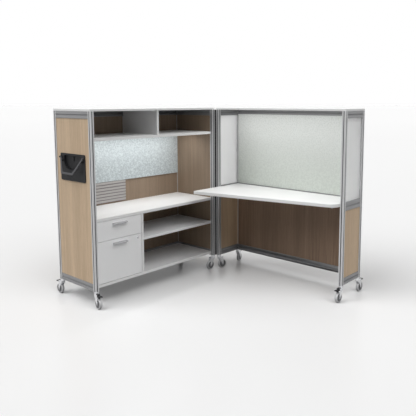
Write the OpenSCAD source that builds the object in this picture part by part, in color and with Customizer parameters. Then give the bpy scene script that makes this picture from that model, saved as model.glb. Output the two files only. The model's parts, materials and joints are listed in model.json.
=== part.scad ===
// Folding workstation on casters: a storage unit and a desk unit, hinged at their front corners.
// Millimetres, +Z up. The storage unit faces -Y and the desk unit, opened square to it, faces -X.
// The origin is on the floor, under the centre of the workstation's bounding box.

/* [Units] */
// Width of each unit along its open front
unit_w = 1219; // [1000:1:1500]
// Height of the frame's top above the floor
frame_top = 1369; // [1300:1:1600]
// Height of the frame's underside above the floor
frame_foot = 119; // [115:1:140]
// Depth of the storage unit
storage_d = 457; // [440:1:600]
// Depth of the desk unit's frame
desk_d = 279; // [250:1:400]
// Distance from the hinge's axis to each unit's end
hinge_gap = 9; // [9:0.5:20]

/* [Frame] */
// Side of a square corner post, and depth of every rail
post_w = 28; // [28:1:40]
// Height of the top and bottom rails
rail_h = 50; // [40:1:60]
// Height of the desk unit's top back rail
desk_top_rail_h = 40; // [35:1:60]
// Height of the rails at worktop level
mid_rail_h = 62; // [50:1:70]
// Width of the slot along each face of a post or rail
slot_w = 8; // [5:0.5:9]
// Depth of that slot
slot_depth = 5; // [3:0.5:5]
// Thickness of the white panel on top of each unit
cap_t = 15; // [10:1:25]
// Thickness of the storage unit's end panels
panel_t = 24; // [18:1:24]
// Setback of the storage unit's end panels from the posts' outer faces
panel_setback = 4; // [2:0.5:4]
// Thickness of the desk unit's lower panels
desk_panel_t = 18; // [12:1:20]
// Setback of the desk unit's back panels from the rails' inner faces
desk_back_setback = 5; // [3:0.5:8]
// Thickness of the frosted screens
screen_t = 6; // [4:1:10]
// Thickness of the tackboards
tack_t = 10; // [8:1:15]

/* [Storage unit] */
// Setback of the boards' front edges from the posts' front faces
front_setback = 19; // [10:1:25]
// Thickness of the shelves
shelf_t = 20; // [16:1:25]
// Thickness of the credenza top
credenza_t = 22; // [18:1:30]
// Height of the credenza's upper surface above the floor
credenza_z = 624; // [600:1:650]
// Height of the middle shelf's upper surface
middle_shelf_z = 420; // [300:1:500]
// Height of the bottom shelf's underside
bottom_shelf_z = 133; // [125:1:140]
// Height of the overhead bays, from their shelf to the frame's top
overhead_h = 183; // [150:1:260]
// Width of the drawer pedestal between its partition and the end panel
pedestal_w = 403; // [350:1:450]
// Height of the slat backing's lower edge above the credenza
slat_lift = 12; // [5:1:20]
// Height from one slat to the next
slat_pitch = 24; // [18:1:30]
// Number of slats
slat_count = 7; // [4:1:8]
// Height of the groove between two slats
slat_groove_h = 7; // [4:0.5:9]
// Thickness of a slat, which is the depth of the grooves
slat_t = 6; // [3:0.5:8]

/* [Drawers] */
// Height of the box drawer's front
box_front_h = 140; // [120:1:180]
// Gap around the drawer fronts
front_gap = 3; // [2:0.5:4]
// Thickness of the drawer fronts
front_t = 18; // [15:1:20]
// Gap between the drawer trays and the back rails' front faces
tray_back_gap = 32; // [30:1:80]
// Height of the box drawer's tray
box_tray_h = 90; // [60:1:100]
// Height of the file drawer's tray
file_tray_h = 225; // [150:1:235]
// Wall of the trays
tray_wall = 2; // [1:0.5:4]
// Width of the space for one runner beside a tray
runner_w = 13; // [12.5:0.5:16]
// Height of a runner
runner_h = 40; // [35:1:50]
// Wall of the runner that is fixed to the cabinet
runner_wall = 1.5; // [1:0.5:2]
// Running clearance between runner members
runner_play = 0.3; // [0.2:0.1:0.6]
// Length of a pull
pull_w = 120; // [96:1:200]
// Reach of a pull in front of its drawer
pull_reach = 22; // [18:1:30]
// Wall of a pull
pull_wall = 3; // [2:0.5:4]
// Height of a pull's turned-down lip
pull_lip_h = 10; // [8:1:14]
// Height of a pull's back flange
pull_flange_h = 20; // [16:1:24]
// Drop from the top of a drawer front to its pull
pull_drop = 22; // [14:1:30]
// Radius of the lock cylinder
lock_r = 8; // [7:0.5:9]
// Distance of the lock from the file front's hinge-side edge
lock_inset = 33; // [28:1:60]
// Distance of the lock below the file front's top
lock_drop = 27; // [24:1:27]
// Length of the lock's cam
cam_len = 22; // [18:1:22]

/* [End handle] */
// Width of the handle's plate
plate_w = 304; // [260:1:340]
// Height of the handle's plate
plate_h = 194; // [180:1:230]
// Thickness of the handle's plate
plate_t = 5; // [3:0.5:8]
// Height of the plate's centre above the floor
plate_z = 974; // [900:1:1050]
// Distance from the plate's sides to the bail's pivots
bail_inset = 10; // [10:1:20]
// Distance from the plate's sides to the ends of the bail's grip
grip_inset = 80; // [70:1:88]
// Length of the bail from its pivots to its outer edge
bail_len = 120; // [100:1:130]
// Width of the bail's bars
bail_bar = 14; // [10:1:18]
// Thickness of the bail
bail_t = 6; // [4:0.5:8]
// Angle at which the bail stands off the plate at rest
bail_tilt = 20; // [15:1:30]
// Distance from the plate's sides to the finger recess behind the bail
recess_inset = 47; // [45:1:60]
// Height of the recess
recess_h = 104; // [90:1:115]
// Depth of the recess behind the plate's face
recess_depth = 14; // [10:1:16]

/* [Desk unit] */
// Height of the worksurface above the floor
desk_z = 719; // [700:1:722]
// Thickness of the worksurface
desk_t = 26; // [20:1:30]
// Overhang of the worksurface in front of the frame, beside the hinge
hinge_overhang = 306; // [200:1:320]
// Overhang that the slanted front edge runs out to at the far end
far_overhang = 64; // [30:1:90]
// Radius of the worksurface's far front corner
far_corner_r = 75; // [20:1:225]
// Radius of the worksurface's corner beside the hinge
near_corner_r = 8; // [5:1:60]
// Rise of the mid rails above the worksurface
mid_rail_lift = 6; // [2:1:12]
// Height of the worksurface brackets
bracket_h = 40; // [30:1:50]
// Width of a bracket's flange
bracket_w = 34; // [24:1:60]
// Thickness of a bracket's web and flange
bracket_t = 4; // [3:0.5:6]

/* [Hinge] */
// Radius of the hinge's knuckles
knuckle_r = 8; // [7.5:0.1:8.2]
// Number of knuckles along the hinge
knuckle_count = 25; // [5:2:41]
// Radius of the hinge pin
hinge_pin_r = 2.5; // [2:0.1:3.5]
// Thickness of a hinge leaf
leaf_t = 2; // [1.5:0.1:2.2]
// Reach of a leaf from the hinge's axis
leaf_w = 26; // [22:0.5:28]

/* [Casters] */
// Radius of a wheel
wheel_r = 37.5; // [32:0.5:38]
// Thickness of a wheel
wheel_t = 22; // [18:1:24]
// Distance from the swivel axis back to the wheel's axle
trail = 32; // [26:1:34]
// Radius of the swivel head
head_r = 17; // [16:0.5:17.5]
// Radius of the stem that turns in the post
stem_r = 5; // [4:0.5:6]
// Length of the stem
stem_len = 40; // [30:1:60]
// Radius of the axle
axle_r = 4; // [3:0.5:5]
// Thickness of a fork leg
leg_t = 2.5; // [2:0.5:3]
// Gap between a fork leg and the wheel
leg_play = 1.5; // [1:0.5:2]
// Length of the brake pedal from its pivot
pedal_len = 40; // [30:1:41]
// Thickness of the brake pedal
pedal_t = 5; // [4:0.5:6]

/* [Hidden] */
$fn = 64;

// Clearance of a shaft in its bore, and the overrun of every cut
fit = 0.05;
over = 1;

// Colours, as red, green and blue shares
aluminium = [0.62, 0.63, 0.65];
white = [0.95, 0.95, 0.94];
oak = [0.72, 0.60, 0.46];
walnut = [0.40, 0.30, 0.22];
mottled = [0.72, 0.78, 0.80];
steel = [0.78, 0.79, 0.80];
black = [0.10, 0.10, 0.11];
frost = [0.90, 0.92, 0.93];
rubber = [0.55, 0.55, 0.56];

// Both units are drawn alike: x runs from the hinge's axis along the width, and y from front to back.
near_x = hinge_gap + post_w;
far_x = hinge_gap + unit_w - post_w;
end_x = hinge_gap + unit_w;
inner_w = far_x - near_x;
post_centre = post_w / 2;
rail_top_z = frame_top - rail_h;
rail_foot_z = frame_foot + rail_h;

// Storage unit
storage_inner_y = storage_d - post_w;
back_panel_t = slot_w - 2 * fit;
back_y = storage_d - (post_w + back_panel_t) / 2;
slot_reach = slot_depth - fit;
credenza_foot = credenza_z - credenza_t;
bottom_z = bottom_shelf_z + shelf_t;
overhead_z = frame_top - overhead_h;
overhead_foot = overhead_z - shelf_t;
slat_foot = credenza_z + slat_lift;
slat_top = slat_foot + slat_count * slat_pitch;
partition_x = far_x - pedestal_w;
divider_x = (near_x + far_x - shelf_t) / 2;
slat_near_x = divider_x + shelf_t / 2;

// Drawers
box_front_top = credenza_foot - front_gap;
box_front_foot = box_front_top - box_front_h;
file_front_top = box_front_foot - front_gap;
file_front_foot = bottom_z + front_gap;
front_near_x = partition_x + front_gap;
front_far_x = far_x - front_gap;
front_back_y = front_setback + front_t;
tray_d = storage_inner_y - tray_back_gap - front_back_y;
tray_near_x = partition_x + runner_w;
tray_far_x = far_x - runner_w;
tray_lift = 16;
box_tray_z = box_front_foot + tray_lift;
file_tray_z = file_front_foot + tray_lift;
runner_lift = 12;
member_w = runner_w - 2 * runner_wall - runner_play;
member_h = runner_h - 2 * (runner_wall + runner_play);
pull_x = (front_near_x + front_far_x - pull_w) / 2;
lock_x = front_near_x + lock_inset;
lock_z = file_front_top - lock_drop;
cam_t = 3;
cam_w = 10;
key_w = 2;
key_depth = 6;
lock_face = 2;
lock_rim = 2;

// End handle
panel_face_x = end_x - panel_setback;
bail_w = plate_w - 2 * bail_inset;
grip_w = plate_w - 2 * grip_inset;
recess_w = plate_w - 2 * recess_inset;
plate_face_x = panel_face_x + plate_t;
pivot_rise = 7;
pivot_drop = 28;
peg_r = 2.5;
barrel_r = 5;
ear_w = 8;
ear_play = 0.4;
ear_r = 7;
stop_w = 7;
stop_top = 20;
stop_foot = 30;
stop_play = 0.2;
plate_corner_r = 12;
recess_corner_r = 70;
recess_drop = 14;
recess_top = plate_z + plate_h / 2 - recess_drop;
cup_wall = 3;
cup_gap = 0.5;
cup_back_gap = 3;
cup_in = recess_depth - plate_t + cup_wall;
pocket_depth = cup_in + cup_back_gap;
key_slot_drop = 6;
key_slot_w = 12;
key_slot_h = 34;
pivot_x = plate_face_x + pivot_rise;
pivot_z = plate_z + plate_h / 2 - pivot_drop;
handle_y = storage_d / 2;

// Desk unit
desk_inner_y = desk_d - post_w;
desk_foot = desk_z - desk_t;
mid_rail_top = desk_z + mid_rail_lift;
mid_rail_foot = mid_rail_top - mid_rail_h;
desk_back_top = frame_top - desk_top_rail_h;
desk_back_y = desk_inner_y + desk_back_setback;
arc_steps = 32;
bracket_shares = [0.08, 0.5, 0.9];
bracket_reach_share = 0.5;

// Hinge
hinge_foot = frame_foot;
hinge_h = frame_top - frame_foot;
knuckle_h = hinge_h / knuckle_count;
knuckle_play = 0.4;
leaf_start = 5;

// Casters: measured from the floor up and, along x, back from the swivel axis
swivel_play = 0.3;
head_top = frame_foot - swivel_play;
head_h = 11;
neck_r = 14;
crown_drop = 17;
crown_top = frame_foot - crown_drop;
crown_clear = 8;
crown_foot = wheel_r * 2 + crown_clear;
crown_front = 7.5;
crown_back = 14;
leg_back = 34;
leg_in = wheel_t / 2 + leg_play;
leg_out = leg_in + leg_t;
hub_r = 9;
pedal_x = 25;
pedal_lift = 6;
pedal_z = crown_foot + pedal_lift;
pedal_pin_r = 2;
pedal_tail_w = 30;
pedal_neck = 12;
shoe_x = 14;
shoe_l = 8;
shoe_w = 11;
shoe_drop = 10;
pedal_boss_r = 5;
tread_r = 4;
web_sink = 4;
web_out = 28;
web_in = 12;
near_swivel = hinge_gap + post_centre;
far_swivel = end_x - post_centre;

// Swivel axes in plan from the hinge's axis, and the heading of each caster's trail in degrees
CASTERS = [
    [-far_swivel, post_centre, -98],
    [-far_swivel, storage_d - post_centre, 90],
    [-near_swivel, post_centre, 175],
    [-near_swivel, storage_d - post_centre, -110],
    [post_centre, -near_swivel, -12],
    [desk_d - post_centre, -near_swivel, 18],
    [post_centre, -far_swivel, 180],
    [desk_d - post_centre, -far_swivel, 0]];

// Centre of the bounding box, from the hinge's axis
bail_out = pivot_x + bail_len * sin(bail_tilt) + bail_t / 2 * cos(bail_tilt);
plan_x = (desk_d - post_centre + trail + wheel_r - bail_out) / 2;
plan_y = (storage_d - post_centre + trail + wheel_r - far_swivel - head_r) / 2;

// A box between two opposite corners
module block(a, b) {
    translate(a) cube(b - a);
}

// Places what is drawn from the hinge's axis
module placed() {
    translate([-plan_x, -plan_y, 0]) children();
}

// The storage unit runs to -X from the hinge, and its back is at +Y
module storage_place() {
    placed() mirror([1, 0, 0]) children();
}

// The desk unit runs to -Y from the hinge, and its back is at +X
module desk_place() {
    placed() rotate(-90) children();
}

// Frame

module post_section() {
    difference() {
        square(post_w);
        for (turn = [0:90:270]) {
            translate([post_centre, post_centre]) rotate(turn)
                translate([post_centre - slot_depth, -slot_w / 2]) square([slot_depth + over, slot_w]);
        }
        translate([post_centre, post_centre]) circle(stem_r + fit);
    }
}

module posts(depth) {
    for (x = [hinge_gap, far_x], y = [0, depth - post_w]) {
        translate([x, y, frame_foot]) linear_extrude(hinge_h) post_section();
    }
}

// A rail along x with a slot in its front and its back
module rail(len, h) {
    difference() {
        cube([len, post_w, h]);
        for (y = [-over, post_w - slot_depth]) {
            translate([-over, y, (h - slot_w) / 2]) cube([len + 2 * over, slot_depth + over, slot_w]);
        }
    }
}

module end_rails(depth, z, h) {
    for (x = [hinge_gap, far_x]) {
        translate([x + post_w, post_w, z]) rotate(90) rail(depth - 2 * post_w, h);
    }
}

module back_rail(depth, z, h) {
    translate([near_x, depth - post_w, z]) rail(inner_w, h);
}

module top_panel(depth) {
    block([hinge_gap, 0, frame_top], [end_x, depth, frame_top + cap_t]);
}

module storage_posts() {
    color(aluminium) storage_place() posts(storage_d);
}

module storage_rails() {
    color(aluminium) storage_place() {
        for (z = [frame_foot, rail_top_z]) {
            end_rails(storage_d, z, rail_h);
            back_rail(storage_d, z, rail_h);
        }
    }
}

module storage_top_panel() {
    color(white) storage_place() top_panel(storage_d);
}

// Storage unit

module storage_left_end_panel() {
    color(oak) storage_place() difference() {
        block([panel_face_x - panel_t, post_w, rail_foot_z], [panel_face_x, storage_inner_y, rail_top_z]);
        recess_solid(panel_face_x - pocket_depth, pocket_depth + over, cup_wall + cup_gap);
    }
}

module storage_right_end_panel() {
    color(oak) storage_place()
        block([hinge_gap + panel_setback, post_w, rail_foot_z],
            [hinge_gap + panel_setback + panel_t, storage_inner_y, rail_top_z]);
}

module storage_back_panel() {
    color(oak) storage_place()
        block([near_x - slot_reach, back_y, rail_foot_z],
            [far_x + slot_reach, back_y + back_panel_t, rail_top_z]);
}

module storage_tackboard() {
    color(mottled) storage_place()
        block([near_x, back_y - tack_t, slat_top], [far_x, back_y, overhead_foot]);
}

module slat_backing() {
    color(steel) storage_place()
        block([slat_near_x, back_y - tack_t + slat_t, slat_foot], [far_x, back_y, slat_top]);
}

// Each slat leaves half a groove above it and half below
module slats() {
    color(steel) storage_place() for (n = [0:slat_count - 1]) {
        foot = slat_foot + n * slat_pitch + slat_groove_h / 2;
        block([slat_near_x, back_y - tack_t, foot],
            [far_x, back_y - tack_t + slat_t, foot + slat_pitch - slat_groove_h]);
    }
}

// A board from the front edge to the back panel
module board(x0, x1, z0, z1, y1 = back_y) {
    block([x0, front_setback, z0], [x1, y1, z1]);
}

// A standing board, notched round the back rails
module upright(x, z0, z1) {
    board(x, x + shelf_t, z0, z1, storage_inner_y);
    board(x, x + shelf_t, max(z0, rail_foot_z), min(z1, rail_top_z));
}

module overhead_shelf() {
    color(white) storage_place() board(near_x, far_x, overhead_foot, overhead_z);
}

module overhead_divider() {
    color(white) storage_place() upright(divider_x, overhead_z, frame_top);
}

module credenza_top() {
    color(white) storage_place() board(near_x, far_x, credenza_foot, credenza_z);
}

module pedestal_partition() {
    color(white) storage_place() upright(partition_x - shelf_t, bottom_z, credenza_foot);
}

module middle_shelf() {
    color(white) storage_place()
        board(near_x, partition_x - shelf_t, middle_shelf_z - shelf_t, middle_shelf_z);
}

module bottom_shelf() {
    color(white) storage_place() board(near_x, far_x, bottom_shelf_z, bottom_z, storage_inner_y);
}

// Drawers

// The fixed channel, its back on x = 0 and its mouth toward +x
module channel() {
    difference() {
        cube([runner_w - runner_play, tray_d, runner_h]);
        translate([runner_wall, -over, runner_wall])
            cube([runner_w, tray_d + 2 * over, runner_h - 2 * runner_wall]);
    }
}

module channels(z) {
    translate([partition_x, front_back_y, z]) channel();
    translate([far_x, front_back_y, z]) mirror([1, 0, 0]) channel();
}

module cabinet_runners() {
    color(steel) storage_place() {
        channels(box_tray_z + runner_lift);
        channels(file_tray_z + runner_lift);
    }
}

module drawer_runners(tray_z) {
    z = tray_z + runner_lift + runner_wall + runner_play;
    for (x = [tray_near_x - member_w, tray_far_x]) {
        block([x, front_back_y, z], [x + member_w, front_back_y + tray_d, z + member_h]);
    }
}

module tray(z, h) {
    difference() {
        block([tray_near_x, front_back_y, z], [tray_far_x, front_back_y + tray_d, z + h]);
        block([tray_near_x + tray_wall, front_back_y + tray_wall, z + tray_wall],
            [tray_far_x - tray_wall, front_back_y + tray_d - tray_wall, z + h + over]);
    }
}

module drawer_front(z0, z1) {
    block([front_near_x, front_setback, z0], [front_far_x, front_back_y, z1]);
}

// A folded pull: back flange, ledge and turned-down lip
module pull(top_z) {
    outline = [[0, 0], [pull_reach, 0], [pull_reach, -pull_lip_h], [pull_reach - pull_wall, -pull_lip_h],
        [pull_reach - pull_wall, -pull_wall], [pull_wall, -pull_wall],
        [pull_wall, -pull_flange_h], [0, -pull_flange_h]];
    translate([pull_x + pull_w, front_setback, top_z - pull_drop]) rotate([90, 0, -90])
        linear_extrude(pull_w) polygon(outline);
}

module box_drawer_tray() {
    color(steel) storage_place() tray(box_tray_z, box_tray_h);
}

module box_drawer_front() {
    color(white) storage_place() drawer_front(box_front_foot, box_front_top);
}

module box_drawer_pull() {
    color(steel) storage_place() pull(box_front_top);
}

module box_drawer_runners() {
    color(steel) storage_place() drawer_runners(box_tray_z);
}

module file_drawer_tray() {
    color(steel) storage_place() tray(file_tray_z, file_tray_h);
}

module file_drawer_front() {
    color(white) storage_place() difference() {
        drawer_front(file_front_foot, file_front_top);
        translate([lock_x, front_back_y + over, lock_z]) rotate([90, 0, 0])
            cylinder(h = front_t + 2 * over, r = lock_r + fit);
    }
}

module file_drawer_pull() {
    color(steel) storage_place() pull(file_front_top);
}

module file_drawer_runners() {
    color(steel) storage_place() drawer_runners(file_tray_z);
}

// The plug, its rim in front, its keyway and the cam behind
module lock_cylinder() {
    color(steel) storage_place() translate([lock_x, 0, lock_z]) difference() {
        union() {
            translate([0, front_back_y, 0]) rotate([90, 0, 0]) cylinder(h = front_t, r = lock_r);
            translate([0, front_setback, 0]) rotate([90, 0, 0])
                cylinder(h = lock_face, r = lock_r + lock_rim);
            block([-cam_w / 2, front_back_y, -cam_len], [cam_w / 2, front_back_y + cam_t, cam_w / 2]);
        }
        block([-key_w / 2, front_setback - lock_face - over, -lock_r / 2],
            [key_w / 2, front_setback - lock_face + key_depth, lock_r / 2]);
    }
}

// End handle: drawn with x outward from the end panel and y across the unit

module ears() {
    for (side = [-1, 1]) {
        y = side * (bail_w / 2 + ear_play + ear_w / 2);
        translate([plate_face_x, handle_y + y, pivot_z]) difference() {
            union() {
                translate([pivot_rise, 0, 0]) rotate([90, 0, 0])
                    cylinder(h = ear_w, r = ear_r, center = true);
                block([0, -ear_w / 2, -ear_r], [pivot_rise, ear_w / 2, ear_r]);
            }
            translate([pivot_rise, 0, 0]) rotate([90, 0, 0])
                cylinder(h = ear_w + 2 * over, r = peg_r + fit, center = true);
        }
    }
}

// A stop behind each arm of the bail holds it off the plate at rest
module stops() {
    middle = (stop_top + stop_foot) / 2;
    arm_y = (bail_w - bail_bar) / 2 - (bail_w - grip_w) / 2 * middle / bail_len;
    back = bail_t / 2 + stop_play;
    outline = [for (d = [stop_top, stop_foot])
        [pivot_rise + d * sin(bail_tilt) - back * cos(bail_tilt), -d * cos(bail_tilt) - back * sin(bail_tilt)]];
    for (side = [-1, 1]) {
        translate([plate_face_x, handle_y + side * arm_y, pivot_z]) rotate([90, 0, 0])
            linear_extrude(stop_w, center = true)
                polygon([[0, outline[0][1]], outline[0], outline[1], [0, outline[1][1]]]);
    }
}

module rounded_plate() {
    corners = [[1, 1], [1, -1], [-1, -1], [-1, 1]];
    rotate([90, 0, 90]) linear_extrude(plate_t) difference() {
        square([plate_w, plate_h], center = true);
        for (c = corners) {
            translate([c[0] * (plate_w / 2 - plate_corner_r), c[1] * (plate_h / 2 - plate_corner_r)])
                difference() {
                    scale([c[0], c[1]]) square(plate_corner_r + over);
                    circle(plate_corner_r);
                }
        }
    }
}

// Outline of the finger recess below its top edge, grown by a margin
module recess(margin) {
    straight_h = recess_h - recess_corner_r;
    foot_w = recess_w - 2 * recess_corner_r;
    translate([-recess_w / 2 - margin, -straight_h]) square([recess_w + 2 * margin, straight_h + margin]);
    translate([-foot_w / 2, -recess_h - margin]) square([foot_w, recess_h + margin]);
    r = recess_corner_r + margin;
    for (side = [-1, 1]) {
        translate([side * foot_w / 2, -straight_h]) difference() {
            circle(r);
            translate([-r, over]) square(2 * r);
        }
    }
}

// The recess's outline, raised outward from a plane of the end panel
module recess_solid(x, depth, margin) {
    translate([x, handle_y, recess_top]) rotate([90, 0, 90]) linear_extrude(depth) recess(margin);
}

// The plate carries a cup that sinks into the end panel
module end_handle_plate() {
    slot_top = recess_top - key_slot_drop;
    color(black) storage_place() difference() {
        union() {
            translate([panel_face_x, handle_y, plate_z]) rounded_plate();
            recess_solid(panel_face_x - cup_in, cup_in + plate_t / 2, cup_wall);
            ears();
            stops();
        }
        recess_solid(plate_face_x - recess_depth, recess_depth + over, 0);
        block([panel_face_x - cup_in - over, handle_y - key_slot_w / 2, slot_top - key_slot_h],
            [plate_face_x, handle_y + key_slot_w / 2, slot_top]);
    }
}

// The bail hangs from its pegs: a trapezoid ring, open at the top and tilted out
module end_handle_bail() {
    inner_foot = -bail_len + bail_bar;
    color(black) storage_place() translate([pivot_x, handle_y, pivot_z]) rotate([0, -bail_tilt, 0]) {
        rotate([90, 0, 90]) translate([0, 0, -bail_t / 2]) linear_extrude(bail_t) difference() {
            polygon([[-bail_w / 2, 0], [bail_w / 2, 0], [grip_w / 2, -bail_len], [-grip_w / 2, -bail_len]]);
            polygon([[-bail_w / 2 + bail_bar, over], [bail_w / 2 - bail_bar, over],
                [grip_w / 2 - bail_bar, inner_foot], [-grip_w / 2 + bail_bar, inner_foot]]);
        }
        for (side = [-1, 1]) {
            translate([0, side * (bail_w - bail_bar) / 2, 0]) rotate([90, 0, 0])
                cylinder(h = bail_bar, r = barrel_r, center = true);
            translate([0, side * (bail_w / 2 + ear_w / 2), 0]) rotate([90, 0, 0])
                cylinder(h = ear_w + 2 * ear_play, r = peg_r, center = true);
        }
    }
}

// Desk unit

module desk_posts() {
    color(aluminium) desk_place() posts(desk_d);
}

module desk_rails() {
    color(aluminium) desk_place() {
        end_rails(desk_d, frame_foot, rail_h);
        back_rail(desk_d, frame_foot, rail_h);
        end_rails(desk_d, rail_top_z, rail_h);
        back_rail(desk_d, desk_back_top, desk_top_rail_h);
        end_rails(desk_d, mid_rail_foot, mid_rail_h);
        back_rail(desk_d, mid_rail_foot, mid_rail_h);
    }
}

module desk_top_panel() {
    color(white) desk_place() top_panel(desk_d);
}

module desk_tackboard() {
    color(mottled) desk_place()
        block([near_x, desk_back_y, mid_rail_top], [far_x, desk_back_y + tack_t, desk_back_top]);
}

module desk_back_panel() {
    color(walnut) desk_place()
        block([near_x, desk_back_y, rail_foot_z], [far_x, desk_back_y + desk_panel_t, mid_rail_foot]);
}

// A panel in the middle of each end, between the posts
module end_infills(t, z0, z1) {
    for (x = [hinge_gap, far_x]) {
        block([x + (post_w - t) / 2, post_w, z0], [x + (post_w + t) / 2, desk_inner_y, z1]);
    }
}

module desk_end_screens() {
    color(frost) desk_place() end_infills(screen_t, mid_rail_top, rail_top_z);
}

module desk_end_panels() {
    color(oak) desk_place() end_infills(desk_panel_t, rail_foot_z, mid_rail_foot);
}

// Points along the arc that rounds the corner at p, from the edge that comes from a to the one toward b
function corner_arc(a, p, b, r) =
    let (e1 = (a - p) / norm(a - p), e2 = (b - p) / norm(b - p), half = acos(e1 * e2) / 2,
        centre = p + (e1 + e2) / norm(e1 + e2) * r / sin(half), run = r / tan(half),
        from = p + run * e1 - centre, to = p + run * e2 - centre, sweep = 180 - 2 * half)
    [for (n = [0:arc_steps]) let (t = n / arc_steps)
        centre + (from * sin((1 - t) * sweep) + to * sin(t * sweep)) / sin(sweep)];

module worksurface() {
    near_front = [near_x, -hinge_overhang];
    far_front = [far_x, -far_overhang];
    near_back = [near_x, desk_inner_y];
    far_back = [far_x, desk_inner_y];
    color(white) desk_place() translate([0, 0, desk_foot]) linear_extrude(desk_t) polygon(concat(
        corner_arc(near_back, near_front, far_front, near_corner_r),
        corner_arc(near_front, far_front, far_back, far_corner_r),
        [far_back, near_back]));
}

// Overhang of the slanted front edge at a share of the inner width
function overhang(share) = hinge_overhang + (far_overhang - hinge_overhang) * share;

module worksurface_brackets() {
    color(steel) desk_place() for (share = bracket_shares) {
        x = near_x + share * inner_w;
        front_y = desk_inner_y - bracket_reach_share * (desk_inner_y + overhang(share));
        block([x - bracket_w / 2, front_y, desk_foot - bracket_t],
            [x + bracket_w / 2, desk_inner_y, desk_foot]);
        block([x - bracket_t / 2, front_y, desk_foot - bracket_h],
            [x + bracket_t / 2, desk_inner_y, desk_foot]);
        block([x - bracket_w / 2, desk_inner_y - bracket_t, mid_rail_foot],
            [x + bracket_w / 2, desk_inner_y, desk_foot]);
    }
}

// Hinge: a leaf on each unit's end, with every other knuckle

module hinge_leaf(first) {
    difference() {
        union() {
            block([hinge_gap - leaf_t, leaf_start, hinge_foot], [hinge_gap, leaf_w, frame_top]);
            for (n = [first:2:knuckle_count - 1]) {
                z = hinge_foot + n * knuckle_h + knuckle_play / 2;
                h = knuckle_h - knuckle_play;
                translate([0, 0, z]) cylinder(h = h, r = knuckle_r);
                block([hinge_gap - leaf_t, 0, z], [hinge_gap, leaf_start, z + h]);
            }
        }
        translate([0, 0, hinge_foot - over]) cylinder(h = hinge_h + 2 * over, r = hinge_pin_r + fit);
    }
}

module storage_hinge_leaf() {
    color(black) storage_place() hinge_leaf(0);
}

module desk_hinge_leaf() {
    color(black) desk_place() hinge_leaf(1);
}

module hinge_pin() {
    color(steel) placed() translate([0, 0, hinge_foot]) cylinder(h = hinge_h, r = hinge_pin_r);
}

// Casters: drawn on the floor at the swivel axis, trailing toward +x

module caster_place(n) {
    placed() translate([CASTERS[n][0], CASTERS[n][1], 0]) rotate(CASTERS[n][2]) children();
}

module leg_outline() {
    polygon([[-crown_front, crown_top], [leg_back, crown_top],
        [trail + hub_r, wheel_r], [trail - hub_r, wheel_r]]);
    translate([trail, wheel_r]) circle(hub_r);
}

module fork(n) {
    color(steel) caster_place(n) difference() {
        union() {
            for (y = [-leg_out, leg_in]) {
                translate([0, y + leg_t, 0]) rotate([90, 0, 0]) linear_extrude(leg_t) leg_outline();
            }
            block([-crown_front, -leg_out, crown_foot], [crown_back, leg_out, crown_top]);
            translate([0, 0, crown_top]) cylinder(h = head_top - crown_top, r = neck_r);
            translate([0, 0, head_top - head_h]) cylinder(h = head_h, r = head_r);
            translate([0, 0, head_top]) cylinder(h = stem_len, r = stem_r);
            translate([trail, leg_in + over, wheel_r]) rotate([90, 0, 0])
                cylinder(h = 2 * (leg_in + over), r = axle_r);
        }
        translate([pedal_x, leg_out + over, pedal_z]) rotate([90, 0, 0])
            cylinder(h = 2 * (leg_out + over), r = pedal_pin_r + fit);
    }
}

// Tread, sunk web and hub, turned about the axle
module wheel(n) {
    half = wheel_t / 2;
    bore = axle_r + fit;
    color(rubber) caster_place(n) translate([trail, 0, wheel_r]) rotate([90, 0, 0]) rotate_extrude() {
        difference() {
            translate([bore, -half]) square([wheel_r - bore, wheel_t]);
            for (side = [-1, 1]) {
                translate([web_in, side * half - web_sink]) square([web_out - web_in, 2 * web_sink]);
                translate([wheel_r - tread_r, side * (half - tread_r)]) difference() {
                    scale([1, side]) square(tread_r + over);
                    circle(tread_r);
                }
            }
        }
    }
}

// The pedal, its pivot pin and the shoe above the tread
module brake(n) {
    neck_w = wheel_t;
    color(black) caster_place(n) translate([pedal_x, 0, pedal_z]) {
        rotate([90, 0, 0]) cylinder(h = 2 * leg_out, r = pedal_pin_r, center = true);
        rotate([90, 0, 0]) cylinder(h = neck_w, r = pedal_boss_r, center = true);
        block([0, -neck_w / 2, 0], [pedal_neck + over, neck_w / 2, pedal_t]);
        block([pedal_neck, -pedal_tail_w / 2, 0], [pedal_len, pedal_tail_w / 2, pedal_t]);
        block([shoe_x, -shoe_w / 2, -shoe_drop], [shoe_x + shoe_l, shoe_w / 2, pedal_t]);
    }
}

storage_posts();
storage_rails();
storage_top_panel();
storage_left_end_panel();
storage_right_end_panel();
storage_back_panel();
storage_tackboard();
slat_backing();
slats();
overhead_shelf();
overhead_divider();
credenza_top();
pedestal_partition();
middle_shelf();
bottom_shelf();
cabinet_runners();
storage_hinge_leaf();
hinge_pin();
end_handle_plate();
end_handle_bail();
box_drawer_tray();
box_drawer_front();
box_drawer_pull();
box_drawer_runners();
file_drawer_tray();
file_drawer_front();
file_drawer_pull();
file_drawer_runners();
lock_cylinder();
desk_posts();
desk_rails();
desk_top_panel();
desk_tackboard();
desk_back_panel();
desk_end_screens();
desk_end_panels();
worksurface();
worksurface_brackets();
desk_hinge_leaf();
fork(0);  // storage_left_front_fork
wheel(0);  // storage_left_front_wheel
brake(0);  // storage_left_front_brake
fork(1);  // storage_left_back_fork
wheel(1);  // storage_left_back_wheel
brake(1);  // storage_left_back_brake
fork(2);  // storage_hinge_front_fork
wheel(2);  // storage_hinge_front_wheel
fork(3);  // storage_hinge_back_fork
wheel(3);  // storage_hinge_back_wheel
fork(4);  // desk_hinge_front_fork
wheel(4);  // desk_hinge_front_wheel
fork(5);  // desk_hinge_back_fork
wheel(5);  // desk_hinge_back_wheel
brake(5);  // desk_hinge_back_brake
fork(6);  // desk_far_front_fork
wheel(6);  // desk_far_front_wheel
brake(6);  // desk_far_front_brake
fork(7);  // desk_far_back_fork
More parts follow.
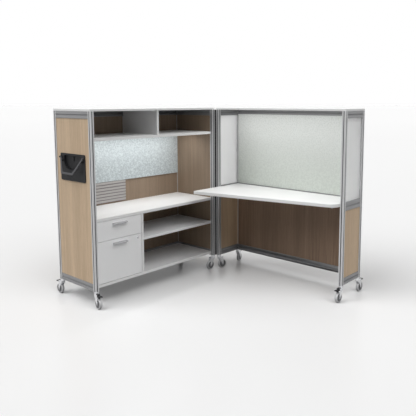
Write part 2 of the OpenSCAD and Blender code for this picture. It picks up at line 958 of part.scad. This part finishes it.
wheel(7);  // desk_far_back_wheel
brake(7);  // desk_far_back_brake
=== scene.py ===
"""Looks of a folding workstation on casters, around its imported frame."""

import json
import math

import bmesh
import bpy
from mathutils import Matrix, Vector


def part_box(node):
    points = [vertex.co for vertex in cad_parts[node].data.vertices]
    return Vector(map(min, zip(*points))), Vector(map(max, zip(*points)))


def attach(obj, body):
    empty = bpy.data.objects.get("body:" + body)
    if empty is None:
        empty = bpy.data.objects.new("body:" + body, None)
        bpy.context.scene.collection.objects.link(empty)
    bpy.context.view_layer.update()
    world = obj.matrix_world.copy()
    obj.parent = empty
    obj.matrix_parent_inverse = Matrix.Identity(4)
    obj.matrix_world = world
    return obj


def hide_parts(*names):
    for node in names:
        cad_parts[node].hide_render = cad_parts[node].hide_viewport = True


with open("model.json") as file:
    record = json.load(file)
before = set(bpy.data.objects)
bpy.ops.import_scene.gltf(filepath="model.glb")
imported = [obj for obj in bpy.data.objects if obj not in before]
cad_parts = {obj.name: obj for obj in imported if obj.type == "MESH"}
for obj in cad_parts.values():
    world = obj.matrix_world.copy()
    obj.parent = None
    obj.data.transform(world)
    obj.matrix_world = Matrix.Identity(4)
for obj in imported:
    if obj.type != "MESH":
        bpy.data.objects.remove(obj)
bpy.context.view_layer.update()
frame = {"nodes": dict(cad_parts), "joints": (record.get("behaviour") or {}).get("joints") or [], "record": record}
bodies_of = {node: body for body, nodes in frame["record"]["behaviour"]["bodies"].items() for node in nodes}
joints = {joint["name"]: joint for joint in frame["joints"]}

CASTERS = [
    "storage_left_front", "storage_left_back", "storage_hinge_front", "storage_hinge_back",
    "desk_hinge_front", "desk_hinge_back", "desk_far_front", "desk_far_back",
]

# Side of a post, and how deep a face lies in it to count as a groove's, in metres
POST = 0.028
GROOVE_SKIN = 0.0008
# Heights of the rails' middles, and how far from them a face lies at most to count as a slot's
RAIL_MIDDLES = (0.144, 0.694, 1.344, 1.349)
SLOT_REACH = 0.005
# How deep a face lies in a panel to count as its pocket's
POCKET_SKIN = 0.002

# Points closer than this are one
MERGED = 1e-6
# Faces at less than the first angle are one flat face, edges over the second are rounded,
# and edges under the third are shaded smooth
FLAT = math.radians(1)
SHARP = math.radians(40)
SMOOTH = math.radians(34)

# Finishes


class Tone:
    """A number that changes over a surface. Sums written on it add Math nodes."""

    def __init__(self, finish, socket):
        self.finish = finish
        self.socket = socket

    def math(self, operation, first, second):
        made = self.finish.node("ShaderNodeMath", {"operation": operation}, {0: first, 1: second})
        return Tone(self.finish, made.outputs[0])

    def __add__(self, other):
        return self.math("ADD", self, other)

    def __sub__(self, other):
        return self.math("SUBTRACT", self, other)

    def __mul__(self, other):
        return self.math("MULTIPLY", self, other)

    def over(self, low, high):
        """0 below low and 1 above high, with a smooth step between."""
        settings = {"interpolation_type": "SMOOTHSTEP"}
        inputs = {"Value": self, "From Min": low, "From Max": high}
        made = self.finish.node("ShaderNodeMapRange", settings, inputs)
        return Tone(self.finish, made.outputs[0])


class Finish:
    """A material, and the nodes that feed its shader."""

    def __init__(self, name, **numbers):
        self.material = bpy.data.materials.new(name)
        self.material.use_nodes = True
        self.tree = self.material.node_tree
        self.shader = self.tree.nodes["Principled BSDF"]
        for socket, value in numbers.items():
            self.shader.inputs[socket.replace("_", " ")].default_value = value
        self.place = self.node("ShaderNodeTexCoord").outputs["Object"]

    def feed(self, socket, value):
        """Links a tone or a socket to an input, or writes a number or a colour into it."""
        if isinstance(value, Tone):
            value = value.socket
        if isinstance(value, bpy.types.NodeSocket):
            self.tree.links.new(value, socket)
        else:
            socket.default_value = value

    def node(self, kind, settings=None, inputs=None):
        made = self.tree.nodes.new(kind)
        for key, value in (settings or {}).items():
            setattr(made, key, value)
        for key, value in (inputs or {}).items():
            self.feed(made.inputs[key], value)
        return made

    def noise(self, per_metre, detail, roughness=0.5, distortion=0.0, shift=(0, 0, 0)):
        """Noise with so many features to the metre along x, y and z."""
        moved = self.node("ShaderNodeVectorMath", {"operation": "ADD"}, {0: self.place, 1: shift})
        scaled = self.node("ShaderNodeVectorMath", {"operation": "MULTIPLY"},
                           {0: moved.outputs[0], 1: per_metre})
        made = self.node("ShaderNodeTexNoise", None, {
            "Vector": scaled.outputs[0], "Scale": 1.0, "Detail": detail,
            "Roughness": roughness, "Distortion": distortion})
        return Tone(self, made.outputs[0])

    def height(self):
        """Height above the floor, in metres."""
        split = self.node("ShaderNodeSeparateXYZ", None, {0: self.place})
        return Tone(self, split.outputs[2])

    def mix(self, share, first, second):
        """From the first colour to the second."""
        made = self.node("ShaderNodeMix", {"data_type": "RGBA"}, {0: share, 6: first, 7: second})
        return made.outputs[2]

    def colour(self, value):
        self.feed(self.shader.inputs["Base Color"], value)

    def rough(self, value):
        self.feed(self.shader.inputs["Roughness"], value)

    def relief(self, heights, depth, strength):
        """Raises the surface by a share of depth, in metres, as the last step of a finish."""
        bump = self.node("ShaderNodeBump", None, {
            "Height": heights, "Distance": depth, "Strength": strength})
        self.feed(self.shader.inputs["Normal"], bump.outputs[0])
        return self


def rgb(red, green, blue):
    """A colour as a screen shows it, 0 to 255, for a socket."""
    shares = [c / 255 for c in (red, green, blue)]
    return tuple(s / 12.92 if s <= 0.04045 else ((s + 0.055) / 1.055) ** 2.4 for s in shares) + (1.0,)


def wood(name, pale, deep, vein, shift):
    """Wood-grain laminate with upright grain. The shift, in metres, moves its figure."""
    finish = Finish(name, Specular_IOR_Level=0.35)
    planks = finish.noise((9, 9, 0.35), 2, 0.5, 0.3, shift)
    streaks = finish.noise((70, 70, 1.6), 4, 0.6, 0.4, shift)
    fibres = finish.noise((650, 650, 14), 3, 0.6, 0.0, shift)
    pores = finish.noise((420, 420, 26), 2, 0.5, 0.0, shift).over(0.62, 0.72)
    figure = (planks * 0.5 + streaks * 0.5).over(0.34, 0.66)
    ground = finish.mix(figure, pale, deep)
    grained = finish.mix(fibres.over(0.4, 0.75) * 0.35, ground, vein)
    finish.colour(finish.mix(pores * 0.3, grained, vein))
    finish.rough(fibres * 0.16 + 0.42)
    return finish.relief(fibres * 0.6 - pores, 0.00012, 0.5)


def laminate(name, pale, deep, rough):
    """Smooth board with a fine orange-peel skin."""
    finish = Finish(name, Specular_IOR_Level=0.4)
    clouds = finish.noise((3, 3, 3), 2)
    finish.colour(finish.mix(clouds, pale, deep))
    finish.rough(finish.noise((30, 30, 30), 3) * 0.12 + rough)
    return finish.relief(finish.noise((900, 900, 900), 2), 0.00004, 0.4)


def brushed(name, per_metre, pale, deep, metal, rough):
    """Metal with fine lines along one way."""
    finish = Finish(name, Metallic=metal)
    lines = finish.noise(per_metre, 3, 0.7)
    clouds = finish.noise((6, 6, 6), 2)
    finish.colour(finish.mix(lines * 0.6 + clouds * 0.4, pale, deep))
    finish.rough(lines * 0.18 + rough)
    return finish.relief(lines, 0.00003, 0.5)


def moulded(name, pale, deep, rough, grain=1400, shine=0.45):
    """Moulded or painted surface with a fine leather-like grain."""
    finish = Finish(name, Specular_IOR_Level=shine)
    skin = finish.noise((grain, grain, grain), 2)
    finish.colour(finish.mix(finish.noise((12, 12, 12), 3), pale, deep))
    finish.rough(skin * 0.15 + rough)
    return finish.relief(skin, 0.00008, 0.5)


def felt(name, pale, deep, fleck, top, foot, painted_glow, glow_share, speckle):
    """Pressed-fibre tackboard: clouds, flecks and a soft nap.

    Between the heights foot and top it goes over to the glow colour, by a share of up to the glow share: painted
    light, paler towards the top.
    Speckle is the flecks' share.
    """
    finish = Finish(name, Specular_IOR_Level=0.15, Sheen_Weight=0.15)
    clouds = finish.noise((60, 60, 60), 2, 0.6, 0.8)
    flecks = finish.noise((110, 110, 110), 2, 0.6)
    nap = finish.noise((900, 900, 900), 2, 0.6)
    ground = finish.mix(clouds.over(0.4, 0.6), pale, deep)
    # painted light: paler towards the top
    painted_lit_ground = finish.mix(finish.height().over(foot, top) * glow_share, ground, painted_glow)
    finish.colour(finish.mix(flecks.over(0.45, 0.62) * speckle, painted_lit_ground, fleck))
    finish.rough(nap * 0.1 + 0.85)
    return finish.relief(nap * 0.6 + flecks * 0.8, 0.0005, 0.5)


def frosted(name, pale, deep):
    """Etched screen that lets the light behind it through."""
    finish = Finish(name, Specular_IOR_Level=0.8, Transmission_Weight=0.6)
    sparkle = finish.noise((1600, 1600, 1600), 2)
    finish.colour(finish.mix(finish.noise((4, 4, 1.5), 2), pale, deep))
    finish.rough(sparkle * 0.1 + 0.4)
    return finish.relief(sparkle, 0.00003, 0.5)


# Each finish has a pale and a deep colour, and wood and felt have a third for their veins or flecks

post_metal = brushed("anodised_posts", (900, 900, 3), rgb(210, 210, 211), rgb(195, 195, 197), 0.5, 0.34)
# a darker copy of the post metal for the faces in the posts' grooves: painted shade
painted_shade_groove_metal = brushed("anodised_grooves_painted_shade", (900, 900, 3), rgb(128, 128, 129), rgb(113, 113, 114), 0.4, 0.5)
rail_metal = brushed("anodised_rails", (3, 3, 900), rgb(152, 152, 153), rgb(139, 139, 141), 0.5, 0.38)
# a darker copy of the rail metal for the faces in the rails' slots: painted shade
painted_shade_slot_metal = brushed("anodised_slots_painted_shade", (3, 3, 900), rgb(142, 142, 143), rgb(128, 128, 130), 0.4, 0.45)
slat_metal = brushed("slat_metal", (3, 3, 900), rgb(190, 186, 184), rgb(179, 175, 174), 0.25, 0.4)
backing_metal = brushed("slat_backing_metal", (3, 3, 900), rgb(153, 149, 148), rgb(141, 138, 136),
                        0.25, 0.45)
white_board = laminate("white_laminate", rgb(247, 247, 246), rgb(240, 240, 240), 0.34)
# a greyer copy of the white laminate for the board faces inside the bays: painted shade
white_painted_shade_inside = laminate("white_laminate_painted_shade_inside", rgb(227, 227, 227), rgb(219, 219, 220), 0.4)
white_front = laminate("drawer_front_paint", rgb(254, 254, 254), rgb(250, 251, 252), 0.36)
oak = wood("oak_laminate", rgb(220, 195, 165), rgb(198, 173, 144), rgb(165, 140, 112), (0, 0, 0))
# a darker copy of the oak for the storage panels' inner faces: painted shade
oak_painted_shade_inside = wood("oak_laminate_painted_shade_inside", rgb(156, 137, 118), rgb(139, 121, 103), rgb(114, 97, 80),
                 (1.3, 0.6, 0.2))
# a darker copy of the oak for the desk's back panel, under the worksurface: painted shade
painted_shade_oak = wood("desk_back_oak_painted_shade", rgb(158, 132, 111), rgb(130, 108, 90), rgb(99, 80, 65),
                (3.1, 1.7, 0.4))
# both tackboards go paler towards their tops: painted light
storage_felt = felt("storage_tackboard_felt", rgb(214, 223, 225), rgb(188, 197, 200), rgb(172, 182, 186),
                    top=1.166, foot=0.80, painted_glow=rgb(228, 236, 238), glow_share=0.65, speckle=0.6)
desk_felt = felt("desk_tackboard_felt", rgb(215, 221, 214), rgb(205, 211, 204), rgb(196, 203, 197),
                 top=1.319, foot=0.75, painted_glow=rgb(252, 255, 252), glow_share=1.0, speckle=0.28)
screen = frosted("frosted_screen", rgb(253, 253, 253), rgb(249, 249, 250))
chrome = brushed("caster_chrome", (40, 40, 40), rgb(226, 227, 229), rgb(212, 213, 216), 1.0, 0.12)
pull_metal = brushed("satin_nickel", (900, 3, 900), rgb(194, 194, 196), rgb(177, 177, 180), 0.8, 0.32)
steel = brushed("zinc_plated_steel", (500, 500, 500), rgb(186, 187, 188), rgb(168, 169, 171), 0.9, 0.3)
black_plastic = moulded("black_plastic", rgb(30, 30, 32), rgb(24, 24, 26), 0.5, shine=0.25)
bail_plastic = moulded("bail_plastic", rgb(72, 72, 75), rgb(64, 64, 67), 0.45, shine=0.35)
black_paint = moulded("black_hinge_paint", rgb(34, 34, 36), rgb(26, 26, 28), 0.35, 2200)
tyre = moulded("grey_tyre", rgb(212, 212, 213), rgb(198, 198, 200), 0.35, 1800)
wheel_core = moulded("grey_wheel_core", rgb(134, 134, 136), rgb(118, 118, 120), 0.3, 1200)


# Pieces


def shaded(bm, name, finish):
    """Makes a mesh object in the scene, shaded smooth over its small bends."""
    mesh = bpy.data.meshes.new(name)
    bm.to_mesh(mesh)
    bm.free()
    mesh.materials.append(finish.material)
    mesh.polygons.foreach_set("use_smooth", [True] * len(mesh.polygons))
    mesh.set_sharp_from_angle(angle=SMOOTH)
    made = bpy.data.objects.new(name, mesh)
    bpy.context.scene.collection.objects.link(made)
    return made


def weighted(piece):
    """Keeps a piece's broad faces flat beside their rounded edges."""
    modifier = piece.modifiers.new("flat_faces", "WEIGHTED_NORMAL")
    modifier.keep_sharp = True
    return piece


def rounded(bm, radius, segments):
    """Rounds the sharp edges between faces."""
    sharp = [e for e in bm.edges if len(e.link_faces) == 2 and e.calc_face_angle(0) > SHARP]
    bmesh.ops.bevel(bm, geom=sharp, offset=radius, offset_type="OFFSET", affect="EDGES", segments=segments,
                    profile=0.5, material=-1, clamp_overlap=True)


def in_groove(face, low, high):
    """Whether a face lies in a groove of the posts that stand at the corners of a box."""
    centre = face.calc_center_median()
    depths = [min(centre[n] - low[n], high[n] - centre[n]) for n in (0, 1)]
    return all(GROOVE_SKIN < depth < POST - GROOVE_SKIN for depth in depths)


def softened(node, finish, radius, segments=2, others=(), halved=None):
    """Stands for a CAD node: the same shape with rounded edges.

    Each of the others is a finish and a test for the faces that take it. The test gets a face and the
    corners of the node's box.
    A node with a recess is halved at a y through it, so that no face goes all the way round the recess.
    """
    bm = bmesh.new()
    bm.from_mesh(frame["nodes"][node].data)
    bmesh.ops.remove_doubles(bm, verts=bm.verts, dist=MERGED)
    if halved:
        whole = bm.verts[:] + bm.edges[:] + bm.faces[:]
        cut = bmesh.ops.bisect_plane(bm, geom=whole, dist=MERGED, plane_co=(0, halved, 0),
                                     plane_no=(0, 1, 0))
        for edge in cut["geom_cut"]:
            if isinstance(edge, bmesh.types.BMEdge):
                edge.seam = True
    bmesh.ops.dissolve_limit(bm, angle_limit=FLAT, use_dissolve_boundaries=False, verts=bm.verts,
                             edges=bm.edges, delimit={"SEAM"})
    rounded(bm, radius, segments)
    low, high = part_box(node)
    for face in bm.faces:
        taken = [n for n, (_, test) in enumerate(others, 1) if test(face, low, high)]
        face.material_index = taken[0] if taken else 0
    piece = weighted(shaded(bm, node + "_finished", finish))
    for other, _ in others:
        piece.data.materials.append(other.material)
    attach(piece, bodies_of[node])
    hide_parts(node)


def spun(profile, name, finish, place, steps):
    """A ring or disc: a profile of (radius, offset) turned about the local z axis and put in place."""
    bm = bmesh.new()
    corners = [bm.verts.new((r, 0, z)) for r, z in profile]
    edges = [bm.edges.new(pair) for pair in zip(corners, corners[1:] + corners[:1])]
    bmesh.ops.spin(bm, geom=corners + edges, cent=(0, 0, 0), axis=(0, 0, 1), angle=math.tau,
                   steps=steps, use_merge=True)
    bmesh.ops.remove_doubles(bm, verts=bm.verts, dist=MERGED)
    bmesh.ops.recalc_face_normals(bm, faces=bm.faces)
    bmesh.ops.transform(bm, matrix=place, verts=bm.verts)
    return shaded(bm, name, finish)


def prism(outline, low, high, name, finish, place, radius, segments):
    """An outline in x and y, raised from low to high, with rounded edges."""
    bm = bmesh.new()
    face = bm.faces.new([bm.verts.new((x, y, low)) for x, y in outline])
    risen = bmesh.ops.extrude_face_region(bm, geom=[face])
    top = [v for v in risen["geom"] if isinstance(v, bmesh.types.BMVert)]
    bmesh.ops.translate(bm, vec=(0, 0, high - low), verts=top)
    bmesh.ops.recalc_face_normals(bm, faces=bm.faces)
    rounded(bm, radius, segments)
    bmesh.ops.transform(bm, matrix=place, verts=bm.verts)
    return weighted(shaded(bm, name, finish))


def ringed(radius, count, turn):
    """Corners of a regular outline, the first one at an angle from the x axis."""
    return [(radius * math.cos(turn + math.tau * n / count), radius * math.sin(turn + math.tau * n / count))
            for n in range(count)]


# Camera: the place and angle that the photograph was taken from

# The picture's side, the focal length and the optical centre from the top left, all in pixels
PICTURE = 416
FOCAL = 533.1
CENTRE = (233.7, 167.3)
# The sensor's width in millimetres
SENSOR = 36
# How far down the camera looks, and which way round from the x axis towards the y axis, in degrees
DOWN = 7.0
HEADING = 40.9

camera = bpy.data.objects.new("camera", bpy.data.cameras.new("camera"))
bpy.context.scene.collection.objects.link(camera)
camera.location = (-2.8274, -2.7036, 1.4329)
camera.rotation_euler = (math.radians(90 - DOWN), 0, math.radians(HEADING - 90))
camera.data.sensor_width = SENSOR
camera.data.lens = SENSOR * FOCAL / PICTURE
camera.data.shift_x = 0.5 - CENTRE[0] / PICTURE
camera.data.shift_y = CENTRE[1] / PICTURE - 0.5
bpy.context.scene.camera = camera

# Boards, panels and frame

# How round the edges are of boards and bars, and of panels in their frames, in metres
BAR_EDGE = 0.0012
PANEL_EDGE = 0.0006


def in_slot(face, low, high):
    """Whether a face lies in the slot along the middle of a rail."""
    height = face.calc_center_median().z
    return any(abs(height - middle) < SLOT_REACH for middle in RAIL_MIDDLES)


def behind_front(face, low, high):
    """Whether a face isn't the front edge of a board."""
    return face.normal.y > -0.5


def in_pocket(face, low, high):
    """Whether a face lies inside a panel, clear of all its outer sides."""
    centre = face.calc_center_median()
    return all(low[n] + POCKET_SKIN < centre[n] < high[n] - POCKET_SKIN for n in range(3))


def facing(way):
    """A test for the faces that look one way."""
    return lambda face, low, high: face.normal.dot(Vector(way)) > 0.9


for board in ("storage_top_panel", "desk_top_panel", "overhead_shelf", "credenza_top"):
    softened(board, white_board, BAR_EDGE)
# behind their front edges the boards inside the bays take a greyer copy of the white laminate: painted shade
for board in ("overhead_divider", "pedestal_partition", "middle_shelf", "bottom_shelf"):
    softened(board, white_board, BAR_EDGE, others=[(white_painted_shade_inside, behind_front)])
softened("worksurface", white_board, 0.003, segments=3)
for front in ("box_drawer_front", "file_drawer_front"):
    softened(front, white_front, 0.0015)
softened("desk_end_panels", oak, PANEL_EDGE, segments=1)
# the storage unit's panels take a darker copy of the oak on their inner side, painted shade, and the left one has
# the handle's pocket
plate_low, plate_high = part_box("end_handle_plate")
handle_y = (plate_low.y + plate_high.y) / 2
for panel, inward, halved in (("storage_left_end_panel", (1, 0, 0), handle_y),
                              ("storage_right_end_panel", (-1, 0, 0), None),
                              ("storage_back_panel", (0, -1, 0), None)):
    inner = [(oak_painted_shade_inside, facing(inward)), (black_plastic, in_pocket)]
    softened(panel, oak, PANEL_EDGE, segments=1, others=inner, halved=halved)
# the desk's back panel takes the darker copy of the oak: painted shade
softened("desk_back_panel", painted_shade_oak, PANEL_EDGE, segments=1)
softened("storage_tackboard", storage_felt, 0.0015)
softened("desk_tackboard", desk_felt, 0.0015)
softened("desk_end_screens", screen, 0.0008)
# the faces in the posts' grooves take a darker copy of the metal: painted shade
for posts in ("storage_posts", "desk_posts"):
    softened(posts, post_metal, BAR_EDGE, others=[(painted_shade_groove_metal, in_groove)])
# the faces in the rails' slots take a darker copy of the metal: painted shade
for rails in ("storage_rails", "desk_rails"):
    softened(rails, rail_metal, BAR_EDGE, others=[(painted_shade_slot_metal, in_slot)])
softened("slats", slat_metal, BAR_EDGE)
softened("slat_backing", backing_metal, 0.0004, segments=1)

# Drawers, lock and runners

for drawer in ("box_drawer", "file_drawer"):
    softened(drawer + "_pull", pull_metal, 0.0008)
    softened(drawer + "_tray", steel, 0.0005)
    softened(drawer + "_runners", steel, 0.0008)
softened("cabinet_runners", steel, 0.0004)
softened("lock_cylinder", chrome, 0.0006)
softened("worksurface_brackets", steel, 0.0006)

# Hinge and end handle

softened("storage_hinge_leaf", black_paint, 0.0003, segments=1)
softened("desk_hinge_leaf", black_paint, 0.0003, segments=1)
softened("hinge_pin", steel, 0.0005)
softened("end_handle_plate", black_plastic, 0.0018, segments=3, halved=handle_y)
softened("end_handle_bail", bail_plastic, 0.0016, segments=3)

# Casters

# Half a wheel's width, and the radius at which its core meets the tyre
HALF_WHEEL = 0.011
CORE_R = 0.0290
# How deep the two fine grooves round the tyre are
TREAD_GROOVE = 0.0006
# Half the web between the core's hub and rim, and the radii that it reaches
HALF_WEB = 0.0068
WEB_FOOT_R = 0.0130
WEB_TOP_R = 0.0265
# Outline of a rib across the web, its low and high side, and how many there are on each side of a wheel
RIB = [(0.0122, -0.0014), (0.0272, -0.0018), (0.0272, 0.0018), (0.0122, 0.0014)]
RIB_LOW = 0.0060
RIB_HIGH = 0.0098
RIBS = 6
# Radius of the nut and the bolt head at an axle's ends, and how far from the wheel's middle they lie
NUT_R = 0.0062
NUT_LOW = 0.0152
NUT_HIGH = 0.0159


def mirrored(profile):
    """A profile, and its mirror image on the other side of the wheel's middle."""
    return profile + [(r, -z) for r, z in reversed(profile)]


def caster(name):
    """Fork, wheel and pedal, and the small pieces on them."""
    swivel = joints[name + "_swivel"]
    roll = joints[name + "_roll"]
    centre = Vector(roll["pos_m"])
    across = Vector(roll["axis"])
    fork = name + "_fork"
    wheel = name + "_wheel"
    place = Matrix.Translation(centre) @ across.to_track_quat("Z", "X").to_matrix().to_4x4()
    softened(fork, chrome, 0.0007)
    # the tyre with its two grooves, and the core sunk on both sides
    tread_r = centre.z
    groove_r = tread_r - TREAD_GROOVE
    rim = -HALF_WHEEL
    tread = mirrored([
        (CORE_R, rim + 0.001), (tread_r - 0.0035, rim), (tread_r - 0.001, rim + 0.0022),
        (tread_r, rim + 0.005), (tread_r, -0.0032), (groove_r, -0.0028), (groove_r, -0.0022),
        (tread_r, -0.0018)])
    core = mirrored([
        (0.0041, rim), (0.0112, rim), (0.0125, rim + 0.0012), (WEB_FOOT_R, -HALF_WEB),
        (WEB_TOP_R, -HALF_WEB), (0.0278, rim + 0.0008), (CORE_R, rim + 0.0006)])
    tyre_ring = spun(tread, name + "_tyre", tyre, place, steps=96)
    core_disc = spun(core, name + "_wheel_core", wheel_core, place, steps=96)
    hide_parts(wheel)
    for piece in (tyre_ring, core_disc):
        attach(piece, wheel)
    # ribs across the core on both sides
    for way, where in ((-1, "inner"), (1, "outer")):
        for n in range(RIBS):
            turn = Matrix.Rotation(math.tau * n / RIBS, 4, "Z")
            rib = prism(RIB, RIB_LOW, RIB_HIGH, f"{name}_rib_{where}_{n}", wheel_core,
                        place @ Matrix.Scale(way, 4, (0, 0, 1)) @ turn, radius=0.0005, segments=1)
            if way < 0:
                rib.data.flip_normals()
            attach(rib, wheel)
    # axle nut and bolt head on the fork
    for kind, corners, turn in (("nut", 6, math.pi), ("head", 32, 0)):
        outline = ringed(NUT_R, corners, math.radians(15))
        nut = prism(outline, NUT_LOW, NUT_HIGH, f"{name}_axle_{kind}", steel,
                    place @ Matrix.Rotation(turn, 4, "X"), radius=0.0004, segments=2)
        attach(nut, fork)
    # the ring between the races of the swivel head
    pivot = Vector(swivel["pos_m"])
    races = [(0.0150, -0.0092), (0.0171, -0.0086), (0.0171, -0.0066), (0.0150, -0.0060)]
    ring = spun(races, name + "_race_ring", steel, Matrix.Translation(pivot), steps=64)
    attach(ring, fork)
    pedal = name + "_brake"
    if pedal in frame["nodes"]:
        softened(pedal, black_plastic, 0.0012, segments=3)


for name in CASTERS:
    caster(name)

# Floor, light and background

# Strength of the light from all around, and the floor's colour as it is seen and as it throws light back
AMBIENT = 0.03
FLOOR_SEEN = rgb(238, 238, 238)
FLOOR_BOUNCE = rgb(152, 152, 152)


def seen(tree):
    """A socket that is 1 for rays from the camera, a mirror or glass, and 0 for all others."""
    rays = tree.nodes.new("ShaderNodeLightPath").outputs
    share = rays["Is Camera Ray"]
    for ray in ("Is Glossy Ray", "Is Transmission Ray"):
        either = tree.nodes.new("ShaderNodeMath")
        either.operation = "MAXIMUM"
        tree.links.new(share, either.inputs[0])
        tree.links.new(rays[ray], either.inputs[1])
        share = either.outputs[0]
    return share


floor_finish = Finish("studio_floor", Roughness=0.25, Specular_IOR_Level=0.15)
floor_finish.colour(floor_finish.mix(seen(floor_finish.tree), FLOOR_BOUNCE, FLOOR_SEEN))
bpy.ops.mesh.primitive_plane_add(size=400, location=(0, 0, 0))
floor = bpy.context.object
floor.name = "floor"
floor.data.materials.append(floor_finish.material)

world = bpy.data.worlds.new("studio")
bpy.context.scene.world = world
world.use_nodes = True
tree = world.node_tree
tree.nodes.clear()
mixed = tree.nodes.new("ShaderNodeMixShader")
tree.links.new(seen(tree), mixed.inputs[0])
# the weak light that falls on things, and the white that is seen behind them
for n, strength in enumerate((AMBIENT, 1.0), 1):
    background = tree.nodes.new("ShaderNodeBackground")
    background.inputs["Color"].default_value = (1, 1, 1, 1)
    background.inputs["Strength"].default_value = strength
    tree.links.new(background.outputs[0], mixed.inputs[n])
tree.links.new(mixed.outputs[0], tree.nodes.new("ShaderNodeOutputWorld").inputs[0])


def wide_light(name, direction, angle, power):
    """Even light from far off, spread over an angle in degrees."""
    light = bpy.data.objects.new(name, bpy.data.lights.new(name, "SUN"))
    light.data.angle = math.radians(angle)
    light.data.energy = power
    light.rotation_euler = Vector(direction).to_track_quat("Z", "Y").to_euler()
    bpy.context.scene.collection.objects.link(light)


def strip_light(name, carrier, place, aim, length, width, power):
    """A long soft light that moves with the body of a node."""
    light = bpy.data.objects.new(name, bpy.data.lights.new(name, "AREA"))
    light.data.shape = "RECTANGLE"
    light.data.size = length
    light.data.size_y = width
    light.data.energy = power
    light.location = place
    light.rotation_euler = (Vector(aim) - Vector(place)).to_track_quat("-Z", "Y").to_euler()
    bpy.context.scene.collection.objects.link(light)
    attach(light, bodies_of[carrier])


wide_light("overhead", (0, 0, 1), angle=80, power=0.68)
wide_light("left_key", (-0.8, 0.4, 1.0), angle=50, power=1.89)
wide_light("front_fill", (-0.1, -0.8, 1.0), angle=50, power=1.33)
# lamps under the overhead shelf and the desk's top panel, set and aimed from the front edge and the underside
shelf_low, shelf_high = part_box("overhead_shelf")
middle = (shelf_low.x + shelf_high.x) / 2
strip_light("under_shelf", "overhead_shelf",
            place=(middle, shelf_low.y + 0.2, shelf_low.z - 0.01),
            aim=(middle, shelf_low.y + 0.28, shelf_low.z - 0.5), length=1.0, width=0.03, power=1.9)
cap_low, cap_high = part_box("desk_top_panel")
middle = (cap_low.y + cap_high.y) / 2
strip_light("under_top", "desk_top_panel",
            place=(cap_low.x + 0.08, middle, cap_low.z - 0.06),
            aim=(cap_high.x, middle, cap_low.z - 0.5), length=1.1, width=0.02, power=0.62)

bpy.context.scene.view_settings.view_transform = "Standard"
